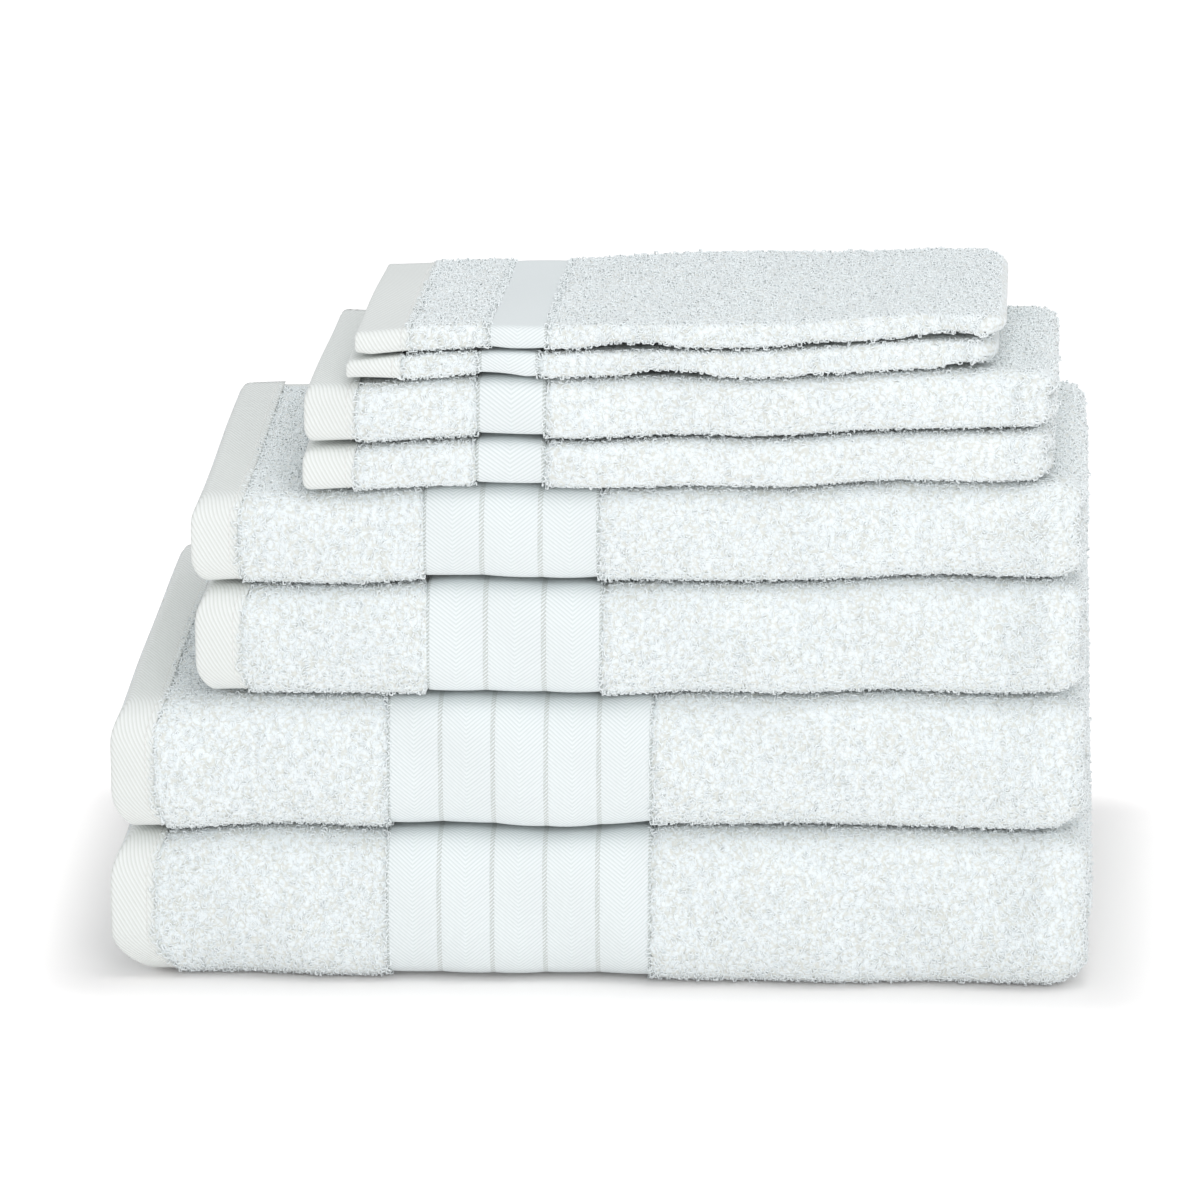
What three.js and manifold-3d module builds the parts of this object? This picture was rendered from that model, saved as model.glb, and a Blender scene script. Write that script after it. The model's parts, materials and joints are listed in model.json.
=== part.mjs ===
// A stack of folded terry linen: two bath towels, two hand towels, two guest towels and two wash mitts.
// Millimetres, +Z up, +X towards the folded ends, -Y towards the front folds.
// The origin is on the surface that the stack stands on, under the middle of its bounding box.

import * as THREE from "three";
import { mergeVertices } from "three/addons/utils/BufferGeometryUtils.js";
import Module from "manifold-3d";

const solidsLibrary = await Module();
solidsLibrary.setup();

// Room between pieces that touch.
const GAP = 0.3;

// Each kind of linen, folded.
// depth      front fold to back fold
// backLoss   share of the thickness that is lost by the back, where loose edges lie instead of a fold
// bulge      how far a fold rounds out past the flat stretch of the stack
// endBulge   the same at the folded end, which is rounder where more layers turn
// recess     how far woven bands lie below the tips of the terry loops
// bandCloth  thickness of the cloth in the woven bands
// hem        width of the sewn hem along the open end
// border     width of the woven border, and how far it starts from the open end
const BATH = {
  depth: 217, backLoss: 0, bulge: 17, endBulge: 13, recess: 1.6, bandCloth: 2.4,
  hem: 14.2, borderStart: 93.2, border: 88.9,
};
const HAND = {
  depth: 167, backLoss: 0, bulge: 13, endBulge: 11, recess: 1.6, bandCloth: 2.4,
  hem: 15, borderStart: 77.8, border: 58.5,
};
const GUEST = {
  depth: 150, backLoss: 0.24, bulge: 8, endBulge: 6, recess: 1.4, bandCloth: 2.2,
  hem: 16.6, borderStart: 57.8, border: 22.9,
};
const MITT = {
  depth: 150, backLoss: 0, bulge: 4, endBulge: 3.5, recess: 0.7, bandCloth: 1.4,
  hem: 17.5, borderStart: 44.1, border: 19.5,
};

// The stack from the bottom up: where each piece's open end and folded end lie, and its thickness there.
const STACK = [
  {
    name: "bath_towel_lower", kind: BATH,
    openEnd: -165.5, foldedEnd: 165.5, thickness: 50.5, foldedThickness: 56,
  },
  {
    name: "bath_towel_upper", kind: BATH,
    openEnd: -165, foldedEnd: 164, thickness: 46.5, foldedThickness: 47,
  },
  {
    name: "hand_towel_lower", kind: HAND,
    openEnd: -136, foldedEnd: 163, thickness: 38.5, foldedThickness: 39.5,
  },
  {
    name: "hand_towel_upper", kind: HAND,
    openEnd: -137, foldedEnd: 162.5, thickness: 32, foldedThickness: 33.5,
  },
  {
    name: "guest_towel_lower", kind: GUEST,
    openEnd: -99.5, foldedEnd: 151, thickness: 16, foldedThickness: 18,
  },
  {
    name: "guest_towel_upper", kind: GUEST,
    openEnd: -99, foldedEnd: 152, thickness: 21.5, foldedThickness: 20,
  },
  {
    name: "wash_mitt_lower", kind: MITT,
    openEnd: -84.5, foldedEnd: 131.5, thickness: 8.5, foldedThickness: 10.5,
  },
  {
    name: "wash_mitt_upper", kind: MITT,
    openEnd: -81.5, foldedEnd: 134, thickness: 9.5, foldedThickness: 8.5,
  },
];

// All the front folds stand in one plane, the front of the bath towels.
const FRONT_Y = -BATH.depth / 2;

const CORNER_RADIUS = 14;
const FOLD_STEPS = 8;
const CORNER_STEPS = 4;

const terry = { color: 0xf1f4f4, roughness: 0.98, metalness: 0 };
const twill = { color: 0xf0f0ea, roughness: 0.85, metalness: 0 };
const herringbone = { color: 0xf3f3ee, roughness: 0.8, metalness: 0 };

// A geometry as a solid: only positions are kept, and shared corners are merged.
function toSolid(geometry) {
  const bare = new THREE.BufferGeometry();
  bare.setAttribute("position", geometry.getAttribute("position").clone());
  if (geometry.index) {
    bare.setIndex(geometry.index.clone());
  }
  const merged = mergeVertices(bare, 1e-4);
  const mesh = new solidsLibrary.Mesh({
    numProp: 3,
    vertProperties: new Float32Array(merged.getAttribute("position").array),
    triVerts: new Uint32Array(merged.index.array),
  });
  return new solidsLibrary.Manifold(mesh);
}

function toGeometry(solid) {
  const mesh = solid.getMesh();
  const geometry = new THREE.BufferGeometry();
  geometry.setAttribute("position", new THREE.BufferAttribute(mesh.vertProperties, 3));
  geometry.setIndex(new THREE.BufferAttribute(mesh.triVerts, 1));
  return geometry.toNonIndexed();
}

// Adds to an outline, turning anticlockwise, the half ellipse that rounds out to edge.
// reach is signed: its sign says which way the half ellipse rounds out.
function addFold(points, edge, reach, low, high) {
  const middle = (low + high) / 2;
  const half = (high - low) / 2;
  for (let step = 0; step <= FOLD_STEPS; step += 1) {
    const angle = (step / FOLD_STEPS) * Math.PI - Math.PI / 2;
    const turn = reach > 0 ? angle : angle + Math.PI;
    points.push(new THREE.Vector2(
      edge - reach + Math.abs(reach) * Math.cos(turn),
      middle + half * Math.sin(turn),
    ));
  }
}

// Cross-section from front to back, rounded at both folds.
function crossSection(piece, inset) {
  const { depth, bulge } = piece.kind;
  const reach = bulge - inset;
  const points = [];
  addFold(points, FRONT_Y + depth - inset, reach, inset, piece.thickness - inset);
  addFold(points, FRONT_Y + inset, -reach, inset, piece.thickness - inset);
  return new THREE.Shape(points);
}

// Outline seen from the front: square at the open end, rounded at the folded end.
function frontOutline(piece, inset) {
  const reach = piece.kind.endBulge - inset;
  const points = [new THREE.Vector2(piece.openEnd, inset)];
  addFold(points, piece.foldedEnd - inset, reach, inset, piece.thickness - inset);
  points.push(new THREE.Vector2(piece.openEnd, piece.thickness - inset));
  return new THREE.Shape(points);
}

// Outline seen from above: rounded corners at the folded end.
function planOutline(piece, inset) {
  const front = FRONT_Y + inset;
  const back = FRONT_Y + piece.kind.depth - inset;
  const right = piece.foldedEnd - inset;
  const outline = new THREE.Shape();
  outline.moveTo(piece.openEnd, front);
  outline.lineTo(right - CORNER_RADIUS, front);
  outline.absarc(right - CORNER_RADIUS, front + CORNER_RADIUS, CORNER_RADIUS, -Math.PI / 2, 0);
  outline.absarc(right - CORNER_RADIUS, back - CORNER_RADIUS, CORNER_RADIUS, 0, Math.PI / 2);
  outline.lineTo(piece.openEnd, back);
  outline.closePath();
  return outline;
}

function extrude(shape, length) {
  return new THREE.ExtrudeGeometry(shape, {
    depth: length,
    bevelEnabled: false,
    curveSegments: CORNER_STEPS,
  });
}

// The folded cloth as one soft block standing on z = 0, all its faces moved in by inset.
// It is what three extruded outlines have in common: one along X, one along Y and one along Z.
function foldedBlock(piece, inset) {
  const length = piece.foldedEnd - piece.openEnd;
  const alongX = extrude(crossSection(piece, inset), length);
  alongX.rotateX(Math.PI / 2).rotateZ(Math.PI / 2).translate(piece.openEnd, 0, 0);
  const alongY = extrude(frontOutline(piece, inset), piece.kind.depth);
  alongY.rotateX(Math.PI / 2).translate(0, FRONT_Y + piece.kind.depth, 0);
  const alongZ = extrude(planOutline(piece, inset), piece.thickness);
  return toSolid(alongX).intersect(toSolid(alongY)).intersect(toSolid(alongZ));
}

// A slice of space across the whole block, from one X to another.
function slice(piece, fromX, toX) {
  const { depth } = piece.kind;
  const box = new THREE.BoxGeometry(toX - fromX, 2 * depth, 4 * piece.thickness);
  box.translate((fromX + toX) / 2, FRONT_Y + depth / 2, 0);
  return toSolid(box);
}

// A woven band: it lies round the block, a little below the terry on either side.
function wovenBand(piece, fromX, toX) {
  const { recess, bandCloth } = piece.kind;
  const outside = foldedBlock(piece, recess).intersect(slice(piece, fromX, toX));
  return outside.subtract(foldedBlock(piece, recess + bandCloth));
}

// The groove in the terry that a band lies in, with room all round.
function bandGroove(piece, fromX, toX) {
  const { recess, bandCloth } = piece.kind;
  const around = slice(piece, fromX - GAP, toX + GAP);
  return around.subtract(foldedBlock(piece, recess + bandCloth + GAP));
}

// The two sides of a wash mitt: the bag pressed flat, cut along its pocket.
function mittSides(piece, cloth) {
  const middle = piece.thickness / 2;
  const tall = 10 * piece.thickness;
  const upperHalf = extrude(planOutline(piece, -piece.kind.depth), tall);
  upperHalf.translate(0, 0, middle + GAP / 2);
  const lowerHalf = upperHalf.clone().translate(0, 0, -tall - GAP);
  return [
    ["top_side", cloth.intersect(toSolid(upperHalf))],
    ["bottom_side", cloth.intersect(toSolid(lowerHalf))],
  ];
}

// How thick a piece is at a place seen from above: its folded end and its front fold hold more cloth.
function thicknessAt(piece, x, y) {
  const alongX = (x - piece.openEnd) / (piece.foldedEnd - piece.openEnd);
  const alongY = (y - FRONT_Y) / piece.kind.depth;
  const straight = piece.thickness + (piece.foldedThickness - piece.thickness) * alongX;
  return straight * (1 - piece.kind.backLoss * alongY);
}

// Lays a straight block on the pieces beneath it, and gives it its own thickness everywhere.
function settle(geometry, piece, beneath) {
  const position = geometry.getAttribute("position");
  for (let corner = 0; corner < position.count; corner += 1) {
    const x = position.getX(corner);
    const y = position.getY(corner);
    const share = position.getZ(corner) / piece.thickness;
    let height = share * thicknessAt(piece, x, y);
    for (const lower of beneath) {
      height += thicknessAt(lower, x, y) + GAP;
    }
    position.setZ(corner, height);
  }
  geometry.computeVertexNormals();
}

const group = new THREE.Group();
STACK.forEach((piece, level) => {
  const { hem, borderStart, border } = piece.kind;
  const hemEnd = piece.openEnd + hem;
  const borderLeft = piece.openEnd + borderStart;
  const borderRight = borderLeft + border;
  const cloth = foldedBlock(piece, 0)
    .subtract(bandGroove(piece, piece.openEnd - GAP, hemEnd))
    .subtract(bandGroove(piece, borderLeft, borderRight));
  const sides = piece.kind === MITT ? mittSides(piece, cloth) : [["cloth", cloth]];
  const parts = [
    ...sides.map(([part, solid]) => [part, solid, terry]),
    ["border", wovenBand(piece, borderLeft, borderRight), herringbone],
    ["hem", wovenBand(piece, piece.openEnd, hemEnd), twill],
  ];
  for (const [part, solid, finish] of parts) {
    const geometry = toGeometry(solid);
    settle(geometry, piece, STACK.slice(0, level));
    const mesh = new THREE.Mesh(geometry, new THREE.MeshStandardMaterial(finish));
    mesh.name = `${piece.name}_${part}`;
    group.add(mesh);
  }
});

export default group;
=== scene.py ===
import json
import math

import bpy
import numpy as np
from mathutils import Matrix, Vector
from mathutils.bvhtree import BVHTree


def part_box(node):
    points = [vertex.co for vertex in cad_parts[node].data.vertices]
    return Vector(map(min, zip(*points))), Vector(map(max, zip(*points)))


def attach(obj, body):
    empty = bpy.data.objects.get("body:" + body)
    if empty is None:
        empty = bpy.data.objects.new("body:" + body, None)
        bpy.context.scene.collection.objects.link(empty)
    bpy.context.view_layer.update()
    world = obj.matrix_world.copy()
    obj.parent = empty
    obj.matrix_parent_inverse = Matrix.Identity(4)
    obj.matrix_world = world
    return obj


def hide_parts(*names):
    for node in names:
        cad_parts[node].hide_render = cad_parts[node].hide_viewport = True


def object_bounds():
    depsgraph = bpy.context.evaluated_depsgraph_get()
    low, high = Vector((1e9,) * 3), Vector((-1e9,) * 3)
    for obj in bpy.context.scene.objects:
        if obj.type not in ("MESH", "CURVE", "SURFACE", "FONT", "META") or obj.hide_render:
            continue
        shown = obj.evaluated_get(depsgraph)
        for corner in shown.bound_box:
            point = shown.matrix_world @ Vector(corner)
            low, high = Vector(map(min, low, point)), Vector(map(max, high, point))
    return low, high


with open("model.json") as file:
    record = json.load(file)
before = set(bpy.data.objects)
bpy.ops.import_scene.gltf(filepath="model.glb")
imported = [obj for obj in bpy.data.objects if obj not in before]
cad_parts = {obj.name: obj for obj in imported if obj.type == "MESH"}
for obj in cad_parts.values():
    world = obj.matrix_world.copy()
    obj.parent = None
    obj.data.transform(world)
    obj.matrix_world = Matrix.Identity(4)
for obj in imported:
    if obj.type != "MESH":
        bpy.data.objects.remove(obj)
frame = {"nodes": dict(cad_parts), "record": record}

cad_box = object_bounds()

# ---- Camera ----
# A long lens, well back, a little above the stack and a little to the right of its middle.

AIM = Vector((-0.0058, 0.0, 0.1068))
DISTANCE = 2.987
TURN = math.radians(2.94)
TILT = math.radians(14.86)
SENSOR_MM = 36.0
LENS_MM = 258.8

towards_camera = Vector((
    math.sin(TURN) * math.cos(TILT),
    -math.cos(TURN) * math.cos(TILT),
    math.sin(TILT),
))
bpy.ops.object.camera_add(location=AIM + towards_camera * DISTANCE)
camera = bpy.context.object
camera.name = "camera"
camera.rotation_mode = "QUATERNION"
camera.rotation_quaternion = towards_camera.to_track_quat("Z", "Y")
camera.data.sensor_width = SENSOR_MM
camera.data.lens = LENS_MM
camera.data.clip_end = 50.0
bpy.context.scene.camera = camera


# ---- Surface and light ----
# A wide white sheet of card under white light from all round, with a large soft box in front. The card
# is given a glow of its own, painted light that keeps it white, and less glow close to the stack: a painted
# shadow round its foot. Little of the glow falls on the stack, so that each towel is lighter above than
# below.

CARD = "#FBF9F8"
# Glow painted into the card: at the foot of the stack (painted shadow), far off, and the share that lights
# the stack.
GLOW_IN_PAINTED_SHADOW = 0.05
GLOW_FAR = 0.46
GLOW_ON_STACK = 0.35
PAINTED_SHADOW_REACH = 0.055
ROUND_LIGHT = 0.65
FRONT_WATTS = 12.8
TOP_WATTS = 6.8
CARD_WIDE = 12.0


def colour(code):
    """A colour written as six sRGB digits, turned into linear light."""
    written = [int(code[place:place + 2], 16) / 255 for place in (1, 3, 5)]
    return [part / 12.92 if part <= 0.04045 else ((part + 0.055) / 1.055) ** 2.4 for part in written] + [1.0]


def new_material(name, **settings):
    """A principled material with these settings. Settings are named as on its node."""
    material = bpy.data.materials.new(name)
    material.use_nodes = True
    surface = material.node_tree.nodes["Principled BSDF"]
    for setting, value in settings.items():
        surface.inputs[setting.replace("_", " ")].default_value = value
    return material, surface


def add_node(tree, kind, links=None, **settings):
    """Adds a node with these settings. links gives each named input a value or another node's output."""
    node = tree.nodes.new(kind)
    for setting, value in settings.items():
        setattr(node, setting, value)
    for name, source in (links or {}).items():
        if isinstance(source, bpy.types.NodeSocket):
            tree.links.new(source, node.inputs[name])
        else:
            node.inputs[name].default_value = source
    return node


def soft_box(name, watts, size, place):
    """A square light that faces the middle of the stack. size is the length of its side."""
    bpy.ops.object.light_add(type="AREA", location=place)
    light = bpy.context.object
    light.name = name
    light.data.size = size
    light.data.energy = watts
    light.rotation_mode = "QUATERNION"
    light.rotation_quaternion = (Vector(place) - AIM).to_track_quat("Z", "Y")


bpy.ops.mesh.primitive_plane_add(size=CARD_WIDE)
card = bpy.context.object
card.name = "card"
card_paper, card_surface = new_material("white_card_painted_glow", Base_Color=colour(CARD), Roughness=0.9,
                                        Emission_Color=colour(CARD))
card_tree = card_paper.node_tree
card_place = add_node(card_tree, "ShaderNodeTexCoord").outputs["Object"]
from_middle = add_node(card_tree, "ShaderNodeVectorMath", {0: card_place}, operation="ABSOLUTE")
past_stack = add_node(card_tree, "ShaderNodeVectorMath", {
    0: from_middle.outputs["Vector"], 1: (cad_box[1].x, cad_box[1].y, 0.0),
}, operation="SUBTRACT")
outwards = add_node(card_tree, "ShaderNodeVectorMath", {0: past_stack.outputs["Vector"], 1: (0, 0, 0)},
                    operation="MAXIMUM")
away = add_node(card_tree, "ShaderNodeVectorMath", {0: outwards.outputs["Vector"]}, operation="LENGTH")
# Painted shadow: the card's glow is weakest at the foot of the stack and grows to full a short way out.
glow = add_node(card_tree, "ShaderNodeMapRange", {
    "Value": away.outputs["Value"], "From Min": 0.0, "From Max": PAINTED_SHADOW_REACH,
    "To Min": GLOW_IN_PAINTED_SHADOW, "To Max": GLOW_FAR,
}, interpolation_type="SMOOTHSTEP")
# The glow is painted light: camera rays see all of it, other rays only a share.
looked_at = add_node(card_tree, "ShaderNodeLightPath").outputs["Is Camera Ray"]
share = add_node(card_tree, "ShaderNodeMapRange", {"Value": looked_at, "To Min": GLOW_ON_STACK})
glow_seen = add_node(card_tree, "ShaderNodeMath", {0: glow.outputs["Result"], 1: share.outputs["Result"]},
                     operation="MULTIPLY")
card_tree.links.new(glow_seen.outputs["Value"], card_surface.inputs["Emission Strength"])
card.data.materials.append(card_paper)

world = bpy.data.worlds.new("round_light")
bpy.context.scene.world = world
world.use_nodes = True
world.node_tree.nodes["Background"].inputs["Color"].default_value = colour("#FBFDFF")
world.node_tree.nodes["Background"].inputs["Strength"].default_value = ROUND_LIGHT
soft_box("front_soft_box", watts=FRONT_WATTS, size=1.2, place=(0.45, -2.2, 0.95))
soft_box("top_soft_box", watts=TOP_WATTS, size=1.0, place=(0.25, -0.5, 1.8))
bpy.context.scene.view_settings.view_transform = "Standard"


# ---- Towels: how each cloth is folded ----
# A bath towel is folded end to end twice, then in three across; a hand towel in three, then in three; a
# guest towel in two, then in two. A wash mitt is one cloth folded at the front and sewn into a bag.
# Each takes the place of its solids in the frame, with its hem at the left and its folds at the right.

# flat     the cloth as woven, width and length
# runs     which layer, from the outside in, each run of the length lies in, from the outer hem on
# thirds   folded in three across the width, or else in two
# bulge    how far the front fold rounds out, and end_bulge how far the folded end does
# recess   how far the woven bands lie below the tips of the loops
# stripes  herringbone stripes in the border
# sewn     sewn shut along its back and its right end, as a mitt is
KINDS = {
    "bath_towel": {"flat": (0.65, 1.30), "runs": (0, 3, 2, 1), "thirds": True, "bulge": 0.017,
                   "end_bulge": 0.013, "recess": 0.0016, "stripes": 5, "sewn": False},
    "hand_towel": {"flat": (0.50, 0.90), "runs": (0, 2, 1), "thirds": True, "bulge": 0.013,
                   "end_bulge": 0.011, "recess": 0.0016, "stripes": 3, "sewn": False},
    "guest_towel": {"flat": (0.30, 0.50), "runs": (0, 1), "thirds": False, "bulge": 0.008,
                    "end_bulge": 0.006, "recess": 0.0014, "stripes": 1, "sewn": False},
    "wash_mitt": {"flat": (0.30, 0.215), "runs": (0,), "thirds": False, "bulge": 0.004,
                  "end_bulge": 0.0035, "recess": 0.0008, "stripes": 1, "sewn": True},
}
STACK = ["bath_towel_lower", "bath_towel_upper", "hand_towel_lower", "hand_towel_upper",
         "guest_towel_lower", "guest_towel_upper", "wash_mitt_lower", "wash_mitt_upper"]
# Radius of the corners of the folded end, seen from above.
CORNER = 0.014
# How square a half turn of the cloth is: 2 is round.
SQUARENESS = 3.0
# How far the open end is tucked in below, as a share of the thickness, and under the lowest towel.
TUCK = 0.18
LOWEST_TUCK = 0.32
SIDE_HEM = 0.008
# How far the back fold rounds out, and how far in from it a loose edge lies.
BACK_BULGE = 0.014
LOOSE_EDGE = 0.002
# The panel inside ends deep in the front fold: this share of the fold's bulge past its start.
INSIDE_END = 0.36
# The half turns at the open end lie this far in, and the last layer ends this far in.
OPEN_TURN = 0.006
LAST_END = 0.003
# How far the outer run goes on past its half turn, and how closely its way is followed.
PAST_TURN = 0.012
TRACK_STEP = 0.002


def solid_faces(body, cloth_nodes):
    """The lowest and the highest face of a body's cloth over any place, each a plane with a twist."""
    trees = []
    for node in cloth_nodes:
        mesh = frame["nodes"][node].data
        trees.append(BVHTree.FromPolygons(
            [vertex.co for vertex in mesh.vertices], [tuple(face.vertices) for face in mesh.polygons]))
    low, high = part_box(cloth_nodes[0])
    hem_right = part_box(body + "_hem")[1].x
    border_left, border_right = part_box(body + "_border")[0].x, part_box(body + "_border")[1].x
    xs = ((hem_right + border_left) / 2, border_right + 0.7 * (high.x - border_right))
    ys = (low.y + 0.3 * (high.y - low.y), low.y + 0.7 * (high.y - low.y))
    rows, lows, highs = [], [], []
    for x in xs:
        for y in ys:
            down = [tree.ray_cast(Vector((x, y, 1.0)), Vector((0, 0, -1)))[0] for tree in trees]
            up = [tree.ray_cast(Vector((x, y, -1.0)), Vector((0, 0, 1)))[0] for tree in trees]
            rows.append([1.0, x, y, x * y])
            highs.append(max(hit.z for hit in down))
            lows.append(min(hit.z for hit in up))
    return np.linalg.solve(rows, lows), np.linalg.solve(rows, highs)


def height(face, x, y):
    """How high a face from solid_faces is at a place seen from above."""
    return face[0] + face[1] * x + face[2] * y + face[3] * x * y


def turned(angle):
    """A half turn, a little squarer than round: how far along, and how far out."""
    cos, sin = np.cos(angle), np.clip(np.sin(angle), 0, 1)
    return np.sign(cos) * np.abs(cos) ** (2 / SQUARENESS), sin ** (2 / SQUARENESS)


def settled(points):
    """Cloth never lies quite straight: slow waves of a millimetre or so run through the whole stack,
    alike where pieces touch, and die out where it stands on the surface."""
    x, y, z = points[..., 0], points[..., 1], points[..., 2]
    lift = np.clip(z / 0.03, 0, 1)
    sway = 0.0011 * np.sin(x / 0.021 + 2.0 * np.sin(z / 0.017 + 0.6) + 0.4)
    sway = sway + 0.0008 * np.sin(x / 0.0093 + z / 0.012 + 1.9)
    rise = 0.0007 * np.sin(x / 0.026 + 1.3 * np.sin(z / 0.04) + y / 0.05)
    rise = rise + 0.0004 * np.sin(x / 0.0117 - y / 0.021 + 0.8)
    return np.stack([x, y + sway, z + lift * rise], axis=-1)


class Towel:
    """One folded piece: its sizes, taken from the frame, and where each point of its cloth lies."""

    def __init__(self, body, level):
        self.body = body
        self.level = level
        self.tuck = TUCK if level else LOWEST_TUCK
        self.kind = KINDS[body.rsplit("_", 1)[0]]
        self.nodes = frame["record"]["behaviour"]["bodies"][body]
        cloth_nodes = [node for node in self.nodes if not node.endswith(("_border", "_hem"))]
        boxes = [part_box(node) for node in self.nodes]
        self.left, self.hem_end = [corner.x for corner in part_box(body + "_hem")]
        self.border_left, self.border_right = [corner.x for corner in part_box(body + "_border")]
        self.right = max(high.x for low, high in boxes)
        self.front = min(low.y for low, high in boxes)
        self.back = max(high.y for low, high in boxes)
        self.bottom, self.top = solid_faces(body, cloth_nodes)
        middle = ((self.left + self.right) / 2, (self.front + self.back) / 2)
        self.thick = height(self.top, *middle) - height(self.bottom, *middle)
        self.pack = self.thick / (3 if self.kind["thirds"] else 2)
        self.layer = self.pack / len(self.kind["runs"])
        self.measure_section()

    def section(self, stretch, depth):
        """Where the layer at this depth lies in the cross-section: y, and height above the bottom. stretch
        runs 0 to 1 along the top, to 2 round the front fold, to 3 along the bottom, to 4 round the back
        fold and to 5 along the panel inside."""
        half = self.thick / 2
        bulge = self.kind["bulge"]
        reach = BACK_BULGE if self.kind["thirds"] else 0.0
        loose_edge = self.back - (0.0 if self.kind["sewn"] else LOOSE_EDGE)
        front_turn = self.front + bulge
        back_turn = self.back - reach if self.kind["thirds"] else loose_edge
        up_front, out_front = turned((stretch - 1) * math.pi)
        up_back, out_back = turned((stretch - 3) * math.pi)
        zone = np.clip(np.floor(stretch), 0, 4)
        y = np.select([zone == 0, zone == 1, zone == 2, zone == 3], [
            loose_edge + (front_turn - loose_edge) * stretch,
            front_turn - bulge * (1 - depth / half) * out_front,
            front_turn + (back_turn - front_turn) * (stretch - 2),
            back_turn + reach * (1 - depth / self.pack) * out_back,
        ], back_turn + (front_turn - INSIDE_END * bulge - back_turn) * (stretch - 4))
        z = np.select([zone == 0, zone == 1, zone == 2, zone == 3], [
            self.thick - depth,
            half + (half - depth) * up_front,
            depth,
            self.pack - (self.pack - depth) * up_back,
        ], 2 * self.pack - depth)
        return y, z

    def measure_section(self):
        """Distances round the outside of the cross-section, so that a weave keeps its size in a fold."""
        last = 5 if self.kind["thirds"] else 3
        self.stretch = np.linspace(0, last - 1e-9, 3000)
        y, z = self.section(self.stretch, np.zeros(1))
        self.round = np.concatenate([[0], np.cumsum(np.hypot(np.diff(y), np.diff(z)))])
        self.ends = [float(np.interp(end, self.stretch, self.round)) for end in range(last + 1)]

    def place(self, x, depth, around):
        """Points of the folded cloth: x along the stack, depth under the tips of the outer loops, and around,
        the distance round the outside of the cross-section. The three are spread over one another."""
        x, depth, around = np.broadcast_arrays(x, depth, around)
        y, z = self.section(np.interp(around, self.round, self.stretch), depth)
        share = self.curled(x, y, self.closed(x, y, z / self.thick))
        x = self.rounded_end(self.drawn_in(x, around), y, share)
        low = height(self.bottom, x, y)
        return settled(np.stack([x, y, low + share * (height(self.top, x, y) - low)], axis=-1))

    def drawn_in(self, x, around):
        """The folded end of the panel inside draws in at its side edge, deep in the front fold."""
        if not self.kind["thirds"]:
            return x
        reach = 0.003
        beyond = np.clip(1 - (self.ends[-1] - around) / reach, 0, 1)
        past = np.clip(x - (self.right - self.pack / 2), 0, None)
        return x - past * (1 - np.sqrt(1 - beyond ** 2))

    def closed(self, x, y, share):
        """The two sides of a mitt come together at its sewn edges."""
        if not self.kind["sewn"]:
            return share
        reach = 0.005
        beyond = np.maximum(y - (self.back - reach), x - (self.right - reach)) / reach
        return 0.5 + (share - 0.5) * np.sqrt(1 - np.clip(beyond, 0, 1) ** 2)

    def curled(self, x, y, share):
        """The front edge of a thin mitt lifts off what it lies on here and there."""
        if not self.kind["sewn"]:
            return share
        wave = np.sin(x / 0.0085 + 0.9 * self.level) + 0.8 * np.sin(x / 0.0153 + 2.0 * self.level)
        near_front = np.clip(1 - (y - self.front) / 0.02, 0, 1) ** 2
        return share + 0.24 * np.clip(wave, 0, 1.2) * near_front * (1 - share)

    def rounded_end(self, x, y, share):
        """The folded end rounds over above and below, and its corners round off seen from above. The open
        end is tucked in a little, most of all under the lowest towel."""
        bulge = self.kind["end_bulge"]
        blend = np.clip((x - (self.right - 3 * bulge)) / (3 * bulge), 0, 1)
        blend = blend * blend * (3 - 2 * blend)
        over = bulge * (1 - np.clip(1 - np.abs(2 * share - 1) ** SQUARENESS, 0, 1) ** (1 / SQUARENESS))
        inset = np.minimum(y - self.front, self.back - y)
        off = CORNER * (1 - np.sqrt(1 - np.clip(1 - inset / CORNER, 0, 1) ** 2))
        tuck = self.tuck * self.thick * np.clip(1 - share / 0.36, 0, 1) ** 2
        tuck = tuck + 0.12 * self.thick * np.clip((share - 0.72) / 0.28, 0, 1) ** 2
        open_end = np.clip(1 - (x - self.left) / 0.04, 0, 1)
        return x - blend * (over + off) + open_end * tuck


def spaced(start, stop, step):
    """Evenly spaced values from start to stop, no further apart than step."""
    return np.linspace(start, stop, max(2, math.ceil(abs(stop - start) / step) + 1))


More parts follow.
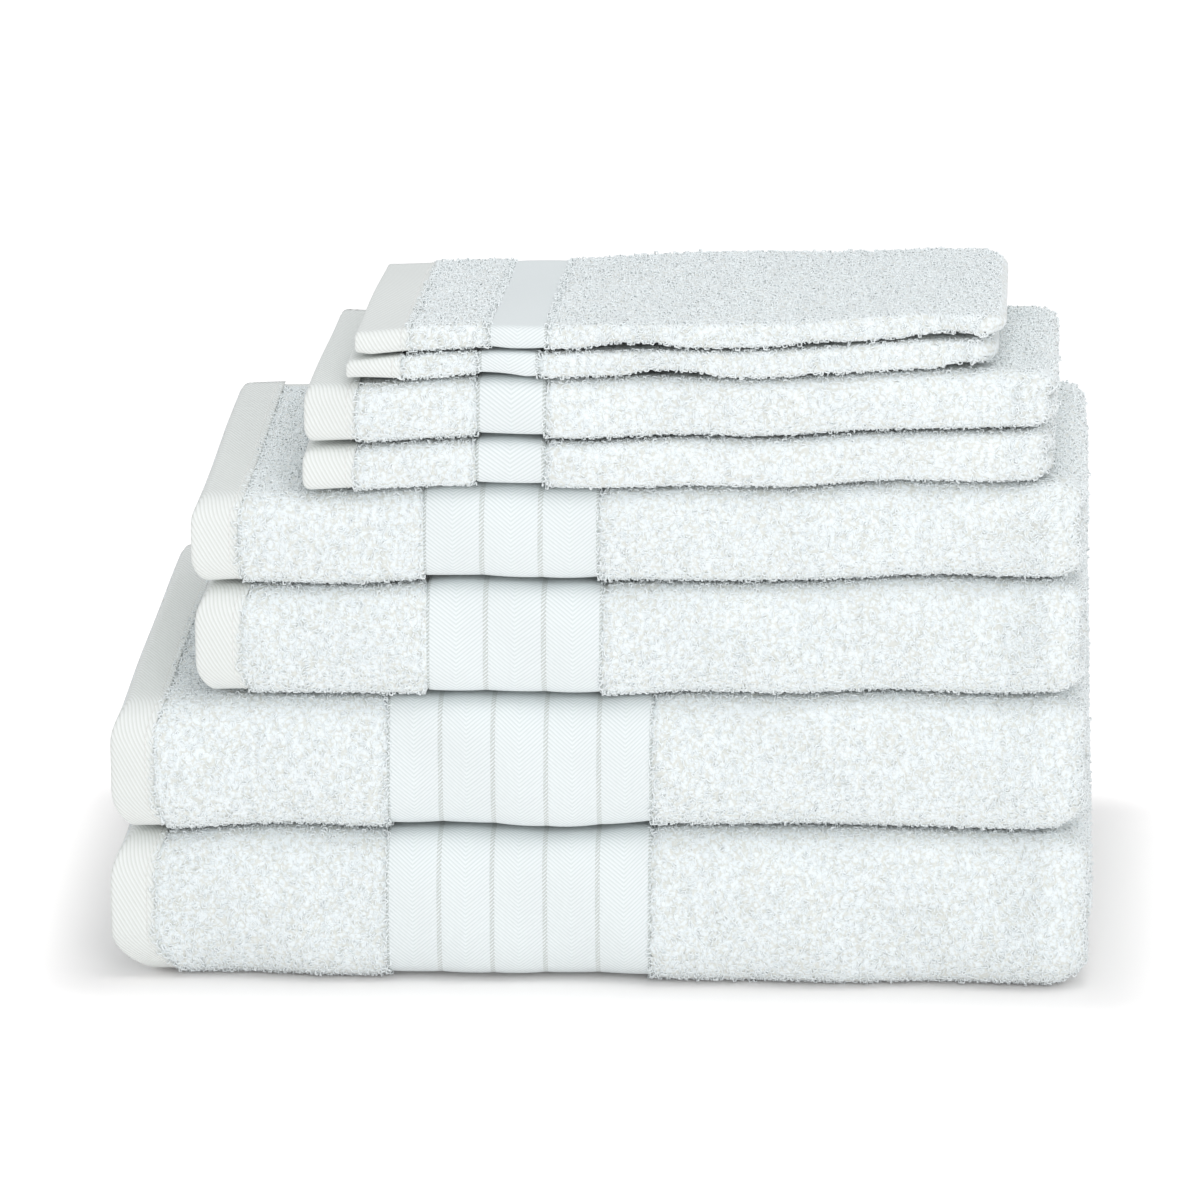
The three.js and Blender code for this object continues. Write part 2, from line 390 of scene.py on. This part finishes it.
class Track:
    """The way the cloth runs along its length, in x and depth, with the direction its outer face looks.
    Runs are joined by half turns, at the folded end and at the open end."""

    def __init__(self, towel, runs, step):
        depths = [(layer + 0.5) * towel.layer for layer in towel.kind["runs"]]
        deepest = abs(depths[1] - depths[0]) / 2 if len(depths) > 1 else 0.0
        right_turn = towel.right - deepest - towel.layer / 2
        left_turn = towel.left + OPEN_TURN
        points = []
        for run in range(runs):
            to_right = run % 2 == 0
            side = 1 if to_right else -1
            begin = towel.left if run == 0 else (left_turn if to_right else right_turn)
            last = run == len(depths) - 1
            if to_right:
                finish = towel.right if last and run == 0 else right_turn
            else:
                finish = towel.left + LAST_END if last else left_turn
            for x in spaced(begin, finish, step):
                points.append((x, depths[run], 0.0, -side))
            if last:
                break
            radius = abs(depths[run + 1] - depths[run]) / 2
            down = 1 if depths[run + 1] > depths[run] else -1
            facing = 1 if to_right == (down > 0) else -1
            for angle in np.linspace(0, math.pi, 10)[1:-1]:
                points.append((
                    finish + side * radius * math.sin(angle),
                    depths[run] + down * radius * (1 - math.cos(angle)),
                    facing * side * math.sin(angle),
                    -facing * down * math.cos(angle),
                ))
            if run == runs - 1:
                for x in spaced(finish, finish - side * PAST_TURN, step):
                    points.append((x, depths[run + 1], 0.0, side))
        self.x, self.depth, self.out_x, self.out_depth = np.array(points).T
        self.length = np.concatenate([[0], np.cumsum(np.hypot(np.diff(self.x), np.diff(self.depth)))])
        self.first_run = right_turn - towel.left
        self.half_turn = math.pi * deepest

    def at(self, length, lift):
        """x and depth of the place this far along the cloth, raised outwards by lift."""
        x, depth, out_x, out_depth = [np.interp(length, self.length, values) for values in (
            self.x, self.depth, self.out_x, self.out_depth)]
        return x + out_x * lift, depth + out_depth * lift


def stations(towel, steps, start=0.0, stop=None):
    """Distances round the cross-section, with one step for each stretch: top, front fold, bottom, back
    fold and inside."""
    stop = towel.ends[-1] if stop is None else stop
    marks = [start] + [end for end in towel.ends if start + 1e-6 < end < stop - 1e-6] + [stop]
    found = []
    for low, high in zip(marks, marks[1:]):
        stretch = int(np.interp((low + high) / 2, towel.round, towel.stretch))
        found.append(spaced(low, high, steps[stretch])[:-1])
    return np.append(np.concatenate(found), stop)


def sheet_mesh(name, points, uv, ring=False):
    """A smooth mesh over a grid of points, with its UV map in the cloth's own distances. A ring joins
    its last row to its first and has both its ends closed."""
    rows, columns = points.shape[:2]
    number = np.arange(rows * columns).reshape(rows, columns)
    if ring:
        number = np.concatenate([number, number[:1]])
        uv = np.concatenate([uv, uv[:1]])
    quads = [number[:-1, :-1], number[:-1, 1:], number[1:, 1:], number[1:, :-1]]
    faces = np.stack(quads, axis=-1).reshape(-1, 4).tolist()
    corner_uv = np.stack([uv[:-1, :-1], uv[:-1, 1:], uv[1:, 1:], uv[1:, :-1]], axis=2).reshape(-1, 2)
    if ring:
        near = np.arange(rows // 2 - 1)
        far = rows - 1 - near
        for end, order in ((0, (0, 1, 2, 3)), (-1, (3, 2, 1, 0))):
            cap = np.stack([near, near + 1, far - 1, far], axis=1)[:, order]
            faces += number[cap, end].tolist()
            corner_uv = np.concatenate([corner_uv, uv[cap, end].reshape(-1, 2)])
    mesh = bpy.data.meshes.new(name)
    mesh.from_pydata(points.reshape(-1, 3).tolist(), [], faces)
    mesh.uv_layers.new(name="cloth").data.foreach_set("uv", corner_uv.ravel())
    mesh.shade_smooth()
    piece = bpy.data.objects.new(name, mesh)
    bpy.context.scene.collection.objects.link(piece)
    return piece


def spread(first, second):
    """A grid of pairs, one of first with one of second."""
    return np.stack(np.meshgrid(first, second, indexing="ij"), axis=-1)


def belongs(piece, towel, finish):
    """The piece rides with its towel, and takes a finish."""
    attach(piece, towel.body)
    piece.data.materials.append(finish)


towels = [Towel(body, level) for level, body in enumerate(STACK)]


# ---- Terry pile ----
# Bleached ring-spun cotton, woven with long slack warp threads that stand up as loops on both faces. The
# loops are soft, curled and matt; the warm shade between them is cast by the loops and also painted into the
# colour of the pile under them.

TERRY_WHITE = "#F6FCFE"
# The colour below is painted shade for the gaps between loops.
TERRY_PAINTED_SHADE = "#E6E8E3"
LOOP_WHITE = "#F9FEFF"
# The felted mass of the pile lies this far under the tips of the loops, and its edges turn down in steps.
# It is uneven by about this much: up and down, along the cloth and around the fold.
FELT = 0.0006
FELT_EDGE = [0.0018, 0.0011]
FELT_STEP = 0.0013
UNEVEN_UP = 0.00016
UNEVEN_ALONG = 0.0003
UNEVEN_AROUND = 0.0002
# How thick the cloth is inside the fold, its loops pressed flat, and the length over which it swells to
# that from the bare ground under the pile outside.
CLOTH = 0.0032
SWELL = 0.012
# Loops: how far apart they are, and how much further where they are seen less, from where under the tips
# they rise, their thread, how wide and how tall they are, how much they lean, and the share of long ones.
LOOP_SPACING = 0.00175
SPARSER = 1.35
LOOP_ROOT = 0.0011
LOOP_THREAD = 0.00034
LOOP_WIDTHS = (0.0005, 0.0010)
LOOP_HEIGHTS = (0.0007, 0.0015)
LOOP_LEAN = 0.5
LONG_LOOPS = 0.07
# Loops are made this far in under the piece above, and this far back from the turn of the folded end.
UNDER = 0.004


def ramp(tree, source, stops):
    """A colour ramp over source. stops are (position, colour) pairs."""
    node = add_node(tree, "ShaderNodeValToRGB", {"Fac": source})
    elements = node.color_ramp.elements
    while len(elements) < len(stops):
        elements.new(0.5)
    for element, (position, code) in zip(elements, stops):
        element.position = position
        element.color = colour(code)
    return node.outputs["Color"]


def terry_material():
    """Curled loops close together, in soft clumps, with painted shade in the gaps between them."""
    material, surface = new_material("cotton_terry", Roughness=0.95, Sheen_Weight=0.35,
                                     Sheen_Roughness=0.5, Specular_IOR_Level=0.2)
    tree = material.node_tree
    places = add_node(tree, "ShaderNodeTexCoord").outputs["Object"]
    curl = add_node(tree, "ShaderNodeTexNoise", {"Vector": places, "Scale": 520.0, "Detail": 2.0})
    bent = add_node(tree, "ShaderNodeVectorMath", {0: curl.outputs["Color"], 1: (0.0016, 0.0016, 0.0016)},
                    operation="MULTIPLY")
    moved = add_node(tree, "ShaderNodeVectorMath", {0: places, 1: bent.outputs["Vector"]},
                     operation="ADD")
    loops = add_node(tree, "ShaderNodeTexVoronoi", {"Vector": moved.outputs["Vector"], "Scale": 720.0})
    clumps = add_node(tree, "ShaderNodeTexNoise", {"Vector": places, "Scale": 160.0, "Detail": 3.0})
    mix = add_node(tree, "ShaderNodeMath", {0: clumps.outputs["Fac"], 1: 0.5,
                                            2: loops.outputs["Distance"]}, operation="MULTIPLY_ADD")
    # Painted shade: darker where the Voronoi cells meet, in the gaps between loops, with tone that differs at
    # random from the clumps.
    tint = ramp(tree, mix.outputs["Value"], [(0.65, TERRY_WHITE), (1.1, TERRY_PAINTED_SHADE)])
    tree.links.new(tint, surface.inputs["Base Color"])
    bump = add_node(tree, "ShaderNodeBump", {"Height": loops.outputs["Distance"], "Strength": 0.5,
                                             "Distance": 0.0008}, invert=True)
    tree.links.new(bump.outputs["Normal"], surface.inputs["Normal"])
    return material


def yarn_material(name, code, fineness, **settings):
    """Spun cotton in one colour, its surface roughened by the twist and the loose fibres of the yarn."""
    material, surface = new_material(name, Base_Color=colour(code), **settings)
    tree = material.node_tree
    places = add_node(tree, "ShaderNodeTexCoord").outputs["Object"]
    fibres = add_node(tree, "ShaderNodeTexNoise", {"Vector": places, "Scale": fineness, "Detail": 2.0,
                                                   "Distortion": 1.5})
    bump = add_node(tree, "ShaderNodeBump", {"Height": fibres.outputs["Fac"], "Strength": 0.4,
                                             "Distance": 0.0002})
    tree.links.new(bump.outputs["Normal"], surface.inputs["Normal"])
    return material


terry = terry_material()
loop_cotton = yarn_material("loop_cotton", LOOP_WHITE, 1600.0, Roughness=0.95, Sheen_Weight=0.3,
                            Specular_IOR_Level=0.2)


def ground_cloth(towel):
    """The woven ground with all its layers, one closed sheet, its loops pressed flat inside the folds."""
    track = Track(towel, len(towel.kind["runs"]), 0.012)
    half = min(CLOTH, 0.8 * towel.layer) / 2
    first = track.first_run + track.half_turn
    outer_lift = np.interp(track.length, [first, first + SWELL], [-0.06 * towel.layer, half])
    inner_lift = np.interp(track.length, [first, first + SWELL], [-0.4 * towel.layer, -half])
    around = stations(towel, (0.012, 0.004, 0.012, 0.004, 0.012))
    sides = [track.at(track.length, outer_lift), track.at(track.length, inner_lift)]
    outer, inner = [towel.place(x[:, None], depth[:, None], around[None, :]) for x, depth in sides]
    uv = spread(track.length, around)
    return sheet_mesh(towel.body + "_ground_cloth", np.concatenate([outer, inner[::-1]]),
                      np.concatenate([uv, uv[::-1]]), ring=True)


def pile_zones(towel):
    """The two stretches of terry along the outer run: hem to border, and border round the folded end."""
    track = Track(towel, 1, TRACK_STEP)
    return track, [
        (towel.hem_end - towel.left, towel.border_left - towel.left),
        (towel.border_right - towel.left, track.length[-1]),
    ]


def pile_skin(towel, random):
    """The felted mass of the pile, under the tips of its loops, in one piece for each stretch."""
    track, zones = pile_zones(towel)
    begin = 0 if towel.kind["sewn"] else SIDE_HEM
    around = stations(towel, (0.0024, 0.0012, 0.006, 0.0018, 0.006), begin)
    made = []
    for number, (start, stop) in enumerate(zones):
        length = spaced(start, stop, FELT_STEP)
        below = np.full(len(length), FELT)
        below[:2] = FELT_EDGE
        if number == 0:
            below[-2:] = FELT_EDGE[::-1]
        elif towel.kind["sewn"]:
            length = np.append(length[:-1], stop - np.array([0.0008, 0.0004, 0.00015, 0]))
            below = np.append(below[:-1], np.full(4, FELT))
        loose = np.ones((len(length), len(around)))
        loose[-4:, :] = 0
        loose[:, :2] = 0
        loose[:, -2:] = 0
        lift = towel.layer / 2 - below[:, None] + loose * random.normal(0, UNEVEN_UP, loose.shape)
        x, depth = track.at(length[:, None] + loose * random.normal(0, UNEVEN_ALONG, loose.shape), lift)
        shifted = around[None, :] + loose * random.normal(0, UNEVEN_AROUND, loose.shape)
        points = towel.place(x, depth, shifted)
        made.append(sheet_mesh(f"{towel.body}_pile_{number + 1}", points, spread(length, around)))
    return made


def shown(above, points):
    """Which points on a towel's top the piece above leaves bare."""
    if above is None:
        return np.ones(len(points), bool)
    under = (points[:, 0] > above.left + 0.003) & (points[:, 0] < above.right - UNDER)
    return ~(under & (points[:, 1] < above.back - UNDER))


def arches(name, root, along, across, up, width, tall, thread):
    """Many small arches of thread in one mesh, each from a root point with its own axes: along is the way
    it stands over the cloth, and up the way it rises. The thread has three sides and three lengths."""
    rings = []
    for angle in np.radians([-10, 50, 130, 190]):
        middle = root + along * width * math.cos(angle) + up * tall * math.sin(angle)
        radial = along * math.cos(angle) + up * math.sin(angle)
        for spoke in np.radians([90, 210, 330]):
            rings.append(middle + thread * (math.sin(spoke) * radial + math.cos(spoke) * across))
    faces = []
    for ring in range(3):
        for spoke in range(3):
            after = (spoke + 1) % 3
            faces.append([3 * ring + spoke, 3 * ring + after, 3 * ring + 3 + after, 3 * ring + 3 + spoke])
    faces = (np.array(faces)[None] + 12 * np.arange(len(root))[:, None, None]).reshape(-1, 4)
    mesh = bpy.data.meshes.new(name)
    mesh.from_pydata(np.stack(rings, axis=1).reshape(-1, 3).tolist(), [], faces.tolist())
    mesh.shade_smooth()
    piece = bpy.data.objects.new(name, mesh)
    bpy.context.scene.collection.objects.link(piece)
    return piece


def axes(towel, track, length, around, below):
    """The place this far along and around the cloth, and below the tips of the loops, and three directions
    there: along the cloth, across it and out of it."""
    small = 0.0002
    x, depth = track.at(length, towel.layer / 2 - below)
    root = towel.place(x, depth, around)
    x_on, depth_on = track.at(length + small, towel.layer / 2 - below)
    along = unit(towel.place(x_on, depth_on, around) - root)
    across = unit(towel.place(x, depth, around + small) - root)
    x_up, depth_up = track.at(length, towel.layer / 2)
    outward = towel.place(x_up, depth_up, around) - root
    up = unit(np.cross(across, along))
    up *= np.sign(np.sum(up * outward, axis=1, keepdims=True))
    return root, along, across, up


def unit(vectors):
    """The same directions, each one long."""
    return vectors / (np.linalg.norm(vectors, axis=1, keepdims=True) + 1e-12)


def loops(towel, above, random):
    """Loops that stand up from the pile wherever it is open to the air: each an arch of thread. They are
    in one piece for each stretch of terry."""
    track, zones = pile_zones(towel)
    made = []
    for number, (start, stop) in enumerate(zones):
        found = []
        for stretch, (low, high) in enumerate(zip(towel.ends, towel.ends[1:])):
            if stretch == 0 and not towel.kind["sewn"]:
                low = SIDE_HEM
            spacing = LOOP_SPACING * (1.0 if stretch < 2 else SPARSER)
            length, around = [grid.ravel() for grid in np.meshgrid(
                np.arange(start + 0.0002, stop, spacing), np.arange(low, high, spacing))]
            length = length + random.uniform(-0.5, 0.5, len(length)) * spacing
            around = around + random.uniform(-0.5, 0.5, len(around)) * spacing
            x, depth = track.at(length, towel.layer / 2)
            keep = length > track.first_run - UNDER
            if stretch == 0:
                keep |= shown(above, towel.place(x, depth, around))
            elif stretch in (1, 3):
                keep[:] = True
            keep &= length < track.first_run + track.half_turn
            found.append((length[keep], around[keep]))
        length, around = [np.concatenate(parts) for parts in zip(*found)]
        root, along, across, up = axes(towel, track, length, around, LOOP_ROOT)
        count = len(length)
        turn = random.uniform(0, 2 * math.pi, (count, 1))
        side = np.cos(turn) * along + np.sin(turn) * across
        other = np.cos(turn) * across - np.sin(turn) * along
        tip = unit(up + random.normal(0, LOOP_LEAN, (count, 1)) * other)
        width = random.uniform(*LOOP_WIDTHS, (count, 1))
        tall = random.uniform(*LOOP_HEIGHTS, (count, 1))
        tall *= np.where(random.uniform(0, 1, (count, 1)) < LONG_LOOPS, 1.5, 1.0)
        made.append(arches(f"{towel.body}_loops_{number + 1}", root, side, np.cross(tip, side), tip,
                           width, tall, LOOP_THREAD))
    return made


for towel in towels:
    random = np.random.RandomState(towel.level + 1)
    cloth = ground_cloth(towel)
    belongs(cloth, towel, terry)
    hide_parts(*towel.nodes)
    skins = pile_skin(towel, random)
    for skin in skins:
        belongs(skin, towel, terry)
    above = towels[towel.level + 1] if towel.level + 1 < len(towels) else None
    pile = loops(towel, above, random)
    for stretch in pile:
        belongs(stretch, towel, loop_cotton)


# ---- Woven borders ----
# A band without loops near each end of a towel: stripes of herringbone twill in mercerised cotton, with a
# narrow openwork line, like a ladder, on both sides of each stripe.

BORDER_WHITE = "#F1F6F7"
BORDER_SHADE = "#DEE5E5"
LADDER_SHADE = "#CBD0CD"
TWILL_PITCH = 0.0015
# The lines of the twill climb half this many rows from a stripe's edge to its middle, then fall back.
TWILL_LEAN = 11.0
RUNG_PITCH = 0.0014
# Width of a ladder line on each side of a stripe, as a share of the stripe.
LADDER = 0.045
# The band's edges dip under the loops beside them, over the last millimetre.
DIP = 0.0015
# A stripe is this much fuller in its middle than at its edges.
FULLNESS = 0.0004
# How far a band on a covered top lies below the loops: they are pressed down there.
PRESSED_RECESS = 0.0002


def scalar(tree, operation, first, second):
    """A sum on two numbers, or outputs, in the material."""
    node = add_node(tree, "ShaderNodeMath", {0: first, 1: second}, operation=operation)
    return node.outputs["Value"]


def border_material():
    """Herringbone that changes its slant in the middle of each stripe, and a ladder between stripes. Across
    the stripes the UV map counts stripes, and along them it counts metres."""
    material, surface = new_material("herringbone_border", Roughness=0.75, Sheen_Weight=0.15,
                                     Specular_IOR_Level=0.3)
    tree = material.node_tree
    weave = add_node(tree, "ShaderNodeUVMap", uv_map="cloth").outputs["UV"]
    split = add_node(tree, "ShaderNodeSeparateXYZ", {"Vector": weave})
    across, along = split.outputs["X"], split.outputs["Y"]
    zigzag = scalar(tree, "PINGPONG", across, 0.5)
    rows = scalar(tree, "MULTIPLY", along, 1 / TWILL_PITCH)
    phase = scalar(tree, "SUBTRACT", rows, scalar(tree, "MULTIPLY", zigzag, TWILL_LEAN))
    twill = scalar(tree, "PINGPONG", phase, 0.5)
    slanted = scalar(tree, "ADD", along, scalar(tree, "MULTIPLY", across, 0.02))
    rung = scalar(tree, "GREATER_THAN", scalar(tree, "PINGPONG", slanted, RUNG_PITCH / 2), RUNG_PITCH / 4)
    hole = scalar(tree, "MULTIPLY", rung, scalar(tree, "LESS_THAN", zigzag, LADDER))
    cloth_tint = ramp(tree, twill, [(0.1, BORDER_SHADE), (0.35, BORDER_WHITE)])
    tint = add_node(tree, "ShaderNodeMix", data_type="RGBA")
    tree.links.new(hole, tint.inputs[0])
    tree.links.new(cloth_tint, tint.inputs[6])
    tint.inputs[7].default_value = colour(LADDER_SHADE)
    tree.links.new(tint.outputs[2], surface.inputs["Base Color"])
    relief = scalar(tree, "SUBTRACT", twill, hole)
    bump = add_node(tree, "ShaderNodeBump", {"Height": relief, "Strength": 0.5, "Distance": 0.0003})
    tree.links.new(bump.outputs["Normal"], surface.inputs["Normal"])
    return material


def band_depth(towel, around):
    """How far a woven band lies below the tips of the loops round the cross-section. The cloth under
    another piece swells up to it."""
    top = towel.kind["recess"] if towel is towels[-1] else PRESSED_RECESS
    down_front = np.clip(np.interp(around, towel.round, towel.stretch) - 1, 0, 1)
    return top + (towel.kind["recess"] - top) * down_front


def woven_border(towel):
    """The band between the two stretches of terry, lower than their loops, its stripes a little full."""
    track = Track(towel, 1, TRACK_STEP)
    start, stop = towel.border_left - towel.left, towel.border_right - towel.left
    length = spaced(start - 0.0007, stop + 0.0007, 0.001)
    begin = 0 if towel.kind["sewn"] else SIDE_HEM
    around = stations(towel, (0.003, 0.0015, 0.006, 0.003, 0.006), begin)
    stripes = np.clip((length - start) / (stop - start), 0, 1) * towel.kind["stripes"]
    full = np.sin(math.pi * np.mod(stripes, 1)) ** 0.5
    inwards = np.minimum(length - length[0], length[-1] - length)
    dip = DIP * (1 - np.clip(inwards / 0.001, 0, 1))
    face = FULLNESS * full - 0.0003 - dip
    lift = towel.layer / 2 - band_depth(towel, around)[None, :] + face[:, None]
    x, depth = track.at(length[:, None], lift)
    points = towel.place(x, depth, around[None, :])
    return sheet_mesh(towel.body + "_woven_border", points, spread(stripes, around))


herringbone = border_material()
for towel in towels:
    belongs(woven_border(towel), towel, herringbone)


# ---- Hems ----
# The end of each cloth is woven without loops, in a plain diagonal twill, then turned under twice and
# sewn down with a lockstitch. The side edges are turned under the same way, but narrower.

HEM_WHITE = "#EFF2F0"
HEM_SHADE = "#DFE2DE"
THREAD_WHITE = "#FAFAF7"
HEM_TWILL_PITCH = 0.0014
HEM_THICK = 0.0024
MITT_HEM_THICK = 0.0014
SIDE_HEM_THICK = 0.0018
SIDE_HEM_BELOW = 0.0021
# Hems reach this far under the loops beside them.
HEM_TUCK = 0.0006
# The stitches: how long one is, how far in from the hem's inner edge they run, and their thread.
STITCH = 0.0028
STITCH_INSET = 0.0022
STITCH_THREAD = 0.00022


def hem_material():
    """Plain twill, its lines at a slant to the edge of the hem."""
    material, surface = new_material("twill_hem", Roughness=0.8, Sheen_Weight=0.15,
                                     Specular_IOR_Level=0.25)
    tree = material.node_tree
    weave = add_node(tree, "ShaderNodeUVMap", uv_map="cloth").outputs["UV"]
    split = add_node(tree, "ShaderNodeSeparateXYZ", {"Vector": weave})
    lean = scalar(tree, "MULTIPLY", split.outputs["Y"], 0.5)
    lines = scalar(tree, "MULTIPLY", scalar(tree, "SUBTRACT", split.outputs["X"], lean), 1 / HEM_TWILL_PITCH)
    twill = scalar(tree, "PINGPONG", lines, 0.5)
    tint = ramp(tree, twill, [(0.08, HEM_SHADE), (0.32, HEM_WHITE)])
    tree.links.new(tint, surface.inputs["Base Color"])
    bump = add_node(tree, "ShaderNodeBump", {"Height": twill, "Strength": 0.45, "Distance": 0.0004})
    tree.links.new(bump.outputs["Normal"], surface.inputs["Normal"])
    return material


def turned_edge(wide, thick):
    """Outline of a turned hem, from its inner edge out along the face, round the end and back: distance
    from the outer edge, and height above the middle of the cloth."""
    half = thick / 2
    face = spaced(wide, half, 0.0012)
    turn = np.linspace(0, math.pi, 7)[1:-1]
    under = spaced(half, wide, 0.004)
    across = np.concatenate([face, half - half * np.sin(turn), under])
    rise = np.concatenate([np.full(len(face), half), half * np.cos(turn), np.full(len(under), -half)])
    return across, rise


def end_hem(towel, name, begin, depth_at, thick, wide):
    """A hem across the end of the cloth, whose edge lies at begin. depth_at gives the depth of its face in
    the folded towel, round the cross-section."""
    across, rise = turned_edge(wide, thick)
    around = stations(towel, (0.004, 0.0015, 0.008, 0.003, 0.008))
    x = begin + across
    depth = depth_at(around)[None, :] + thick / 2 - rise[:, None]
    points = towel.place(x[:, None], depth, around[None, :])
    return sheet_mesh(f"{towel.body}_{name}", points, spread(across, around), ring=True)


def side_hem(towel, name, at_start):
    """The narrow hem along a side edge of the cloth, where the edge lies free at the back."""
    track = Track(towel, 1, TRACK_STEP)
    across, rise = turned_edge(SIDE_HEM + HEM_TUCK, SIDE_HEM_THICK)
    length = spaced(towel.hem_end - towel.left, track.first_run + track.half_turn, 0.004)
    around = across if at_start else towel.ends[-1] - across
    x, depth = track.at(length[None, :], towel.layer / 2 - SIDE_HEM_BELOW + rise[:, None])
    points = towel.place(x, depth, around[:, None])
    uv = spread(around, length)[..., ::-1]
    return sheet_mesh(f"{towel.body}_{name}", points, uv, ring=True)


def stitches(towel):
    """The lockstitch that holds the hem down, seen as a row of short floats of thread."""
    track = Track(towel, 1, TRACK_STEP)
    last = towel.ends[min(4, len(towel.ends) - 1)]
    around = np.arange(0.003, last - 0.003, STITCH)
    length = np.full(len(around), towel.hem_end - towel.left - STITCH_INSET)
    root, along, across, up = axes(towel, track, length, around, band_depth(towel, around) + 0.0001)
    return arches(towel.body + "_hem_stitches", root, across, along, up, 0.42 * STITCH, 0.0002,
                  STITCH_THREAD)


twill = hem_material()
sewing_thread = yarn_material("sewing_thread", THREAD_WHITE, 2400.0, Roughness=0.6)
for towel in towels:
    wide = towel.hem_end - towel.left
    thick = MITT_HEM_THICK if towel.kind["sewn"] else HEM_THICK
    hems = [end_hem(towel, "sewn_hem", towel.left, lambda around: band_depth(towel, around), thick,
                    wide + HEM_TUCK)]
    if len(towel.kind["runs"]) % 2 == 0:
        second_layer = 1.5 * towel.layer - thick / 2
        hems.append(end_hem(towel, "inner_hem", towel.left + LAST_END,
                            lambda around: np.full(len(around), second_layer), thick, wide))
    if not towel.kind["sewn"]:
        hems.append(side_hem(towel, "side_hem", True))
    if not towel.kind["sewn"] and not towel.kind["thirds"]:
        hems.append(side_hem(towel, "lower_side_hem", False))
    for hem in hems:
        belongs(hem, towel, twill)
    belongs(stitches(towel), towel, sewing_thread)
